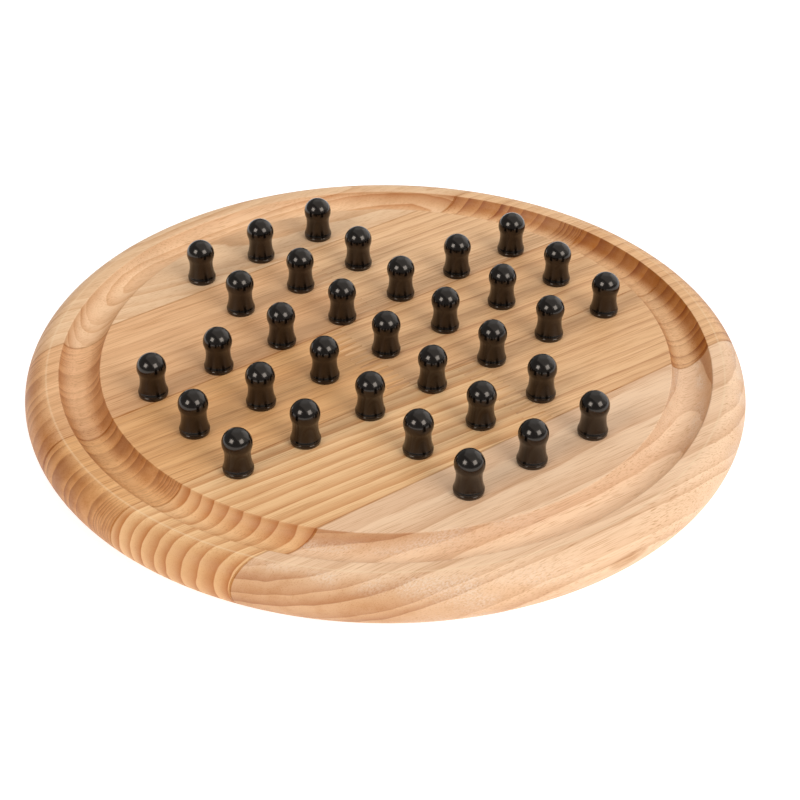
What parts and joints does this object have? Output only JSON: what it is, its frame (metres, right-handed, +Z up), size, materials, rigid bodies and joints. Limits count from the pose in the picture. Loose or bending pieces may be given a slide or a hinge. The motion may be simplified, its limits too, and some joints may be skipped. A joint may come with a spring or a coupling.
{
  "type": "peg solitaire board",
  "caption": "Round wooden peg solitaire board with a ring groove round its edge and black turned pegs standing in a cross of blind holes.",
  "frame": {"origin": "centre of the flat underside", "axes": "+Z up through the board; +X along the grain and the rows of pegs; +Y towards the first row of pegs, on stave 1"},
  "size_m": [0.3, 0.3, 0.041],
  "materials": {
    "pale_pine": "satin clear-finished pine, pale, with soft growth rings",
    "tan_pine": "satin clear-finished pine, darker tan, with fine lines",
    "striped_pine": "satin clear-finished pine, cream and golden stripes along the grain",
    "black_lacquer": "turned hardwood dipped in semi-gloss black lacquer"
  },
  "bodies": {
    "board": {"stave_1": "pale_pine", "stave_2_left": "tan_pine", "stave_2_right": "pale_pine", "stave_3_left": "tan_pine", "stave_3_right": "striped_pine", "stave_4_left": "striped_pine", "stave_4_right": "pale_pine", "stave_5": "pale_pine"},
    "peg_row1_col3": {"peg_row1_col3": "black_lacquer"},
    "peg_row1_col4": {"peg_row1_col4": "black_lacquer"},
    "peg_row1_col5": {"peg_row1_col5": "black_lacquer"},
    "peg_row2_col3": {"peg_row2_col3": "black_lacquer"},
    "peg_row2_col4": {"peg_row2_col4": "black_lacquer"},
    "peg_row2_col5": {"peg_row2_col5": "black_lacquer"},
    "peg_row3_col1": {"peg_row3_col1": "black_lacquer"},
    "peg_row3_col2": {"peg_row3_col2": "black_lacquer"},
    "peg_row3_col3": {"peg_row3_col3": "black_lacquer"},
    "peg_row3_col4": {"peg_row3_col4": "black_lacquer"},
    "peg_row3_col5": {"peg_row3_col5": "black_lacquer"},
    "peg_row3_col6": {"peg_row3_col6": "black_lacquer"},
    "peg_row3_col7": {"peg_row3_col7": "black_lacquer"},
    "peg_row4_col1": {"peg_row4_col1": "black_lacquer"},
    "peg_row4_col2": {"peg_row4_col2": "black_lacquer"},
    "peg_row4_col3": {"peg_row4_col3": "black_lacquer"},
    "peg_row4_col4": {"peg_row4_col4": "black_lacquer"},
    "peg_row4_col5": {"peg_row4_col5": "black_lacquer"},
    "peg_row4_col6": {"peg_row4_col6": "black_lacquer"},
    "peg_row4_col7": {"peg_row4_col7": "black_lacquer"},
    "peg_row5_col1": {"peg_row5_col1": "black_lacquer"},
    "peg_row5_col2": {"peg_row5_col2": "black_lacquer"},
    "peg_row5_col3": {"peg_row5_col3": "black_lacquer"},
    "peg_row5_col4": {"peg_row5_col4": "black_lacquer"},
    "peg_row5_col5": {"peg_row5_col5": "black_lacquer"},
    "peg_row5_col6": {"peg_row5_col6": "black_lacquer"},
    "peg_row5_col7": {"peg_row5_col7": "black_lacquer"},
    "peg_row6_col3": {"peg_row6_col3": "black_lacquer"},
    "peg_row6_col4": {"peg_row6_col4": "black_lacquer"},
    "peg_row6_col5": {"peg_row6_col5": "black_lacquer"},
    "peg_row7_col3": {"peg_row7_col3": "black_lacquer"},
    "peg_row7_col4": {"peg_row7_col4": "black_lacquer"},
    "peg_row7_col5": {"peg_row7_col5": "black_lacquer"}
  },
  "joints": [
    {"name": "lift_row1_col3", "type": "slide", "parent": "board", "child": "peg_row1_col3", "axis": [0, 0, 1], "range_m": [0, 0.03]},
    {"name": "lift_row1_col4", "type": "slide", "parent": "board", "child": "peg_row1_col4", "axis": [0, 0, 1], "range_m": [0, 0.03]},
    {"name": "lift_row1_col5", "type": "slide", "parent": "board", "child": "peg_row1_col5", "axis": [0, 0, 1], "range_m": [0, 0.03]},
    {"name": "lift_row2_col3", "type": "slide", "parent": "board", "child": "peg_row2_col3", "axis": [0, 0, 1], "range_m": [0, 0.03]},
    {"name": "lift_row2_col4", "type": "slide", "parent": "board", "child": "peg_row2_col4", "axis": [0, 0, 1], "range_m": [0, 0.03]},
    {"name": "lift_row2_col5", "type": "slide", "parent": "board", "child": "peg_row2_col5", "axis": [0, 0, 1], "range_m": [0, 0.03]},
    {"name": "lift_row3_col1", "type": "slide", "parent": "board", "child": "peg_row3_col1", "axis": [0, 0, 1], "range_m": [0, 0.03]},
    {"name": "lift_row3_col2", "type": "slide", "parent": "board", "child": "peg_row3_col2", "axis": [0, 0, 1], "range_m": [0, 0.03]},
    {"name": "lift_row3_col3", "type": "slide", "parent": "board", "child": "peg_row3_col3", "axis": [0, 0, 1], "range_m": [0, 0.03]},
    {"name": "lift_row3_col4", "type": "slide", "parent": "board", "child": "peg_row3_col4", "axis": [0, 0, 1], "range_m": [0, 0.03]},
    {"name": "lift_row3_col5", "type": "slide", "parent": "board", "child": "peg_row3_col5", "axis": [0, 0, 1], "range_m": [0, 0.03]},
    {"name": "lift_row3_col6", "type": "slide", "parent": "board", "child": "peg_row3_col6", "axis": [0, 0, 1], "range_m": [0, 0.03]},
    {"name": "lift_row3_col7", "type": "slide", "parent": "board", "child": "peg_row3_col7", "axis": [0, 0, 1], "range_m": [0, 0.03]},
    {"name": "lift_row4_col1", "type": "slide", "parent": "board", "child": "peg_row4_col1", "axis": [0, 0, 1], "range_m": [0, 0.03]},
    {"name": "lift_row4_col2", "type": "slide", "parent": "board", "child": "peg_row4_col2", "axis": [0, 0, 1], "range_m": [0, 0.03]},
    {"name": "lift_row4_col3", "type": "slide", "parent": "board", "child": "peg_row4_col3", "axis": [0, 0, 1], "range_m": [0, 0.03]},
    {"name": "lift_row4_col4", "type": "slide", "parent": "board", "child": "peg_row4_col4", "axis": [0, 0, 1], "range_m": [0, 0.03]},
    {"name": "lift_row4_col5", "type": "slide", "parent": "board", "child": "peg_row4_col5", "axis": [0, 0, 1], "range_m": [0, 0.03]},
    {"name": "lift_row4_col6", "type": "slide", "parent": "board", "child": "peg_row4_col6", "axis": [0, 0, 1], "range_m": [0, 0.03]},
    {"name": "lift_row4_col7", "type": "slide", "parent": "board", "child": "peg_row4_col7", "axis": [0, 0, 1], "range_m": [0, 0.03]},
    {"name": "lift_row5_col1", "type": "slide", "parent": "board", "child": "peg_row5_col1", "axis": [0, 0, 1], "range_m": [0, 0.03]},
    {"name": "lift_row5_col2", "type": "slide", "parent": "board", "child": "peg_row5_col2", "axis": [0, 0, 1], "range_m": [0, 0.03]},
    {"name": "lift_row5_col3", "type": "slide", "parent": "board", "child": "peg_row5_col3", "axis": [0, 0, 1], "range_m": [0, 0.03]},
    {"name": "lift_row5_col4", "type": "slide", "parent": "board", "child": "peg_row5_col4", "axis": [0, 0, 1], "range_m": [0, 0.03]},
    {"name": "lift_row5_col5", "type": "slide", "parent": "board", "child": "peg_row5_col5", "axis": [0, 0, 1], "range_m": [0, 0.03]},
    {"name": "lift_row5_col6", "type": "slide", "parent": "board", "child": "peg_row5_col6", "axis": [0, 0, 1], "range_m": [0, 0.03]},
    {"name": "lift_row5_col7", "type": "slide", "parent": "board", "child": "peg_row5_col7", "axis": [0, 0, 1], "range_m": [0, 0.03]},
    {"name": "lift_row6_col3", "type": "slide", "parent": "board", "child": "peg_row6_col3", "axis": [0, 0, 1], "range_m": [0, 0.03]},
    {"name": "lift_row6_col4", "type": "slide", "parent": "board", "child": "peg_row6_col4", "axis": [0, 0, 1], "range_m": [0, 0.03]},
    {"name": "lift_row6_col5", "type": "slide", "parent": "board", "child": "peg_row6_col5", "axis": [0, 0, 1], "range_m": [0, 0.03]},
    {"name": "lift_row7_col3", "type": "slide", "parent": "board", "child": "peg_row7_col3", "axis": [0, 0, 1], "range_m": [0, 0.03]},
    {"name": "lift_row7_col4", "type": "slide", "parent": "board", "child": "peg_row7_col4", "axis": [0, 0, 1], "range_m": [0, 0.03]},
    {"name": "lift_row7_col5", "type": "slide", "parent": "board", "child": "peg_row7_col5", "axis": [0, 0, 1], "range_m": [0, 0.03]}
  ]
}
